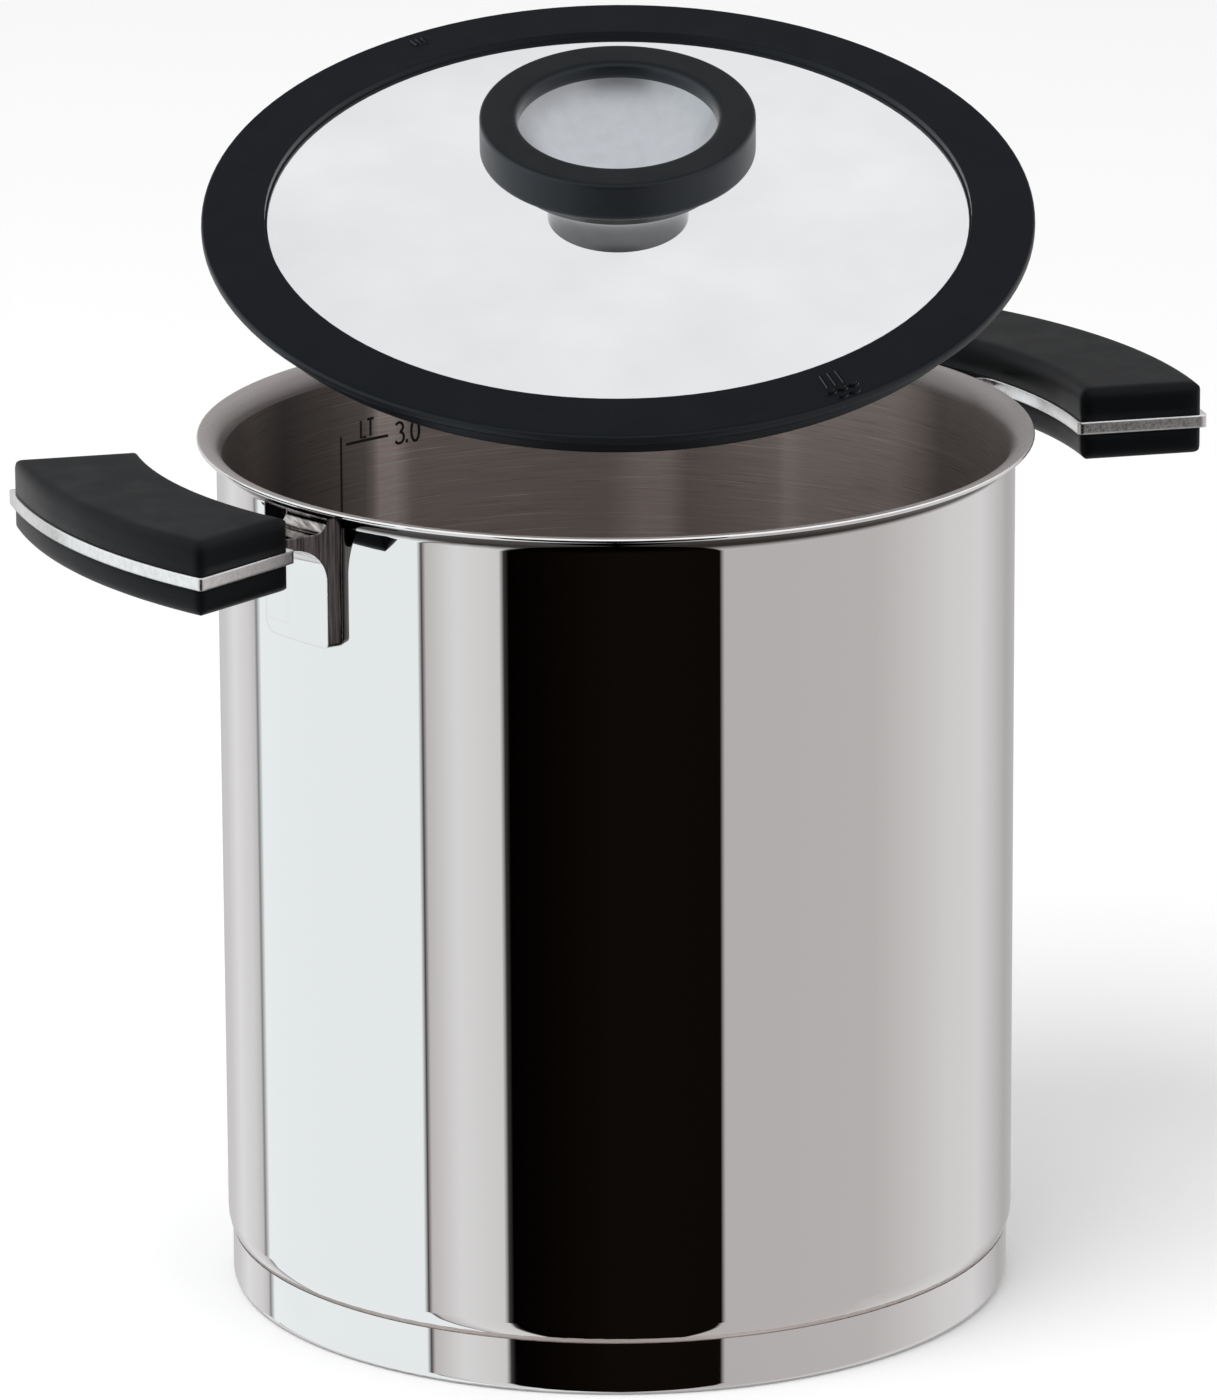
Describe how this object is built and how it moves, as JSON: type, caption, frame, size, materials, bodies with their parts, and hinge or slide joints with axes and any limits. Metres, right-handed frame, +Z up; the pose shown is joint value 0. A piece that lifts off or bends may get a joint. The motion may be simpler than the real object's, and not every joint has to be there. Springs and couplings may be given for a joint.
{
  "type": "stockpot with lid",
  "caption": "Tall cylindrical steel stockpot with flared rim, two flat side handles with dark grips and a domed steel lid with a rubber rim and ring knob, held open above it.",
  "frame": {"origin": "centre of the underside of the base, on the surface the pot stands on", "axes": "+Z up along the pot's axis, the two handles along +X and -X"},
  "size_m": [0.2492, 0.1698, 0.2543],
  "materials": {
    "polished_steel": "mirror polished outside, brushed inside",
    "core_aluminium": "plain",
    "capsule_steel": "mirror polished",
    "handle_steel": "polished",
    "grip_rubber": "soft matt",
    "lid_steel": "satin polished",
    "rim_rubber": "matt silicone rubber",
    "knob_steel": "polished",
    "knob_rubber": "matt silicone rubber",
    "screw_steel": "plain"
  },
  "bodies": {
    "root": {"pot_body": "polished_steel", "base_core": "core_aluminium", "base_cap": "capsule_steel", "handle_frame_left": "handle_steel", "handle_frame_right": "handle_steel", "grip_left": "grip_rubber", "grip_right": "grip_rubber", "lid_plate": "lid_steel", "lid_rim": "rim_rubber", "knob_cup": "knob_steel", "knob_ring": "knob_rubber", "knob_screw": "screw_steel"}
  },
  "joints": []
}
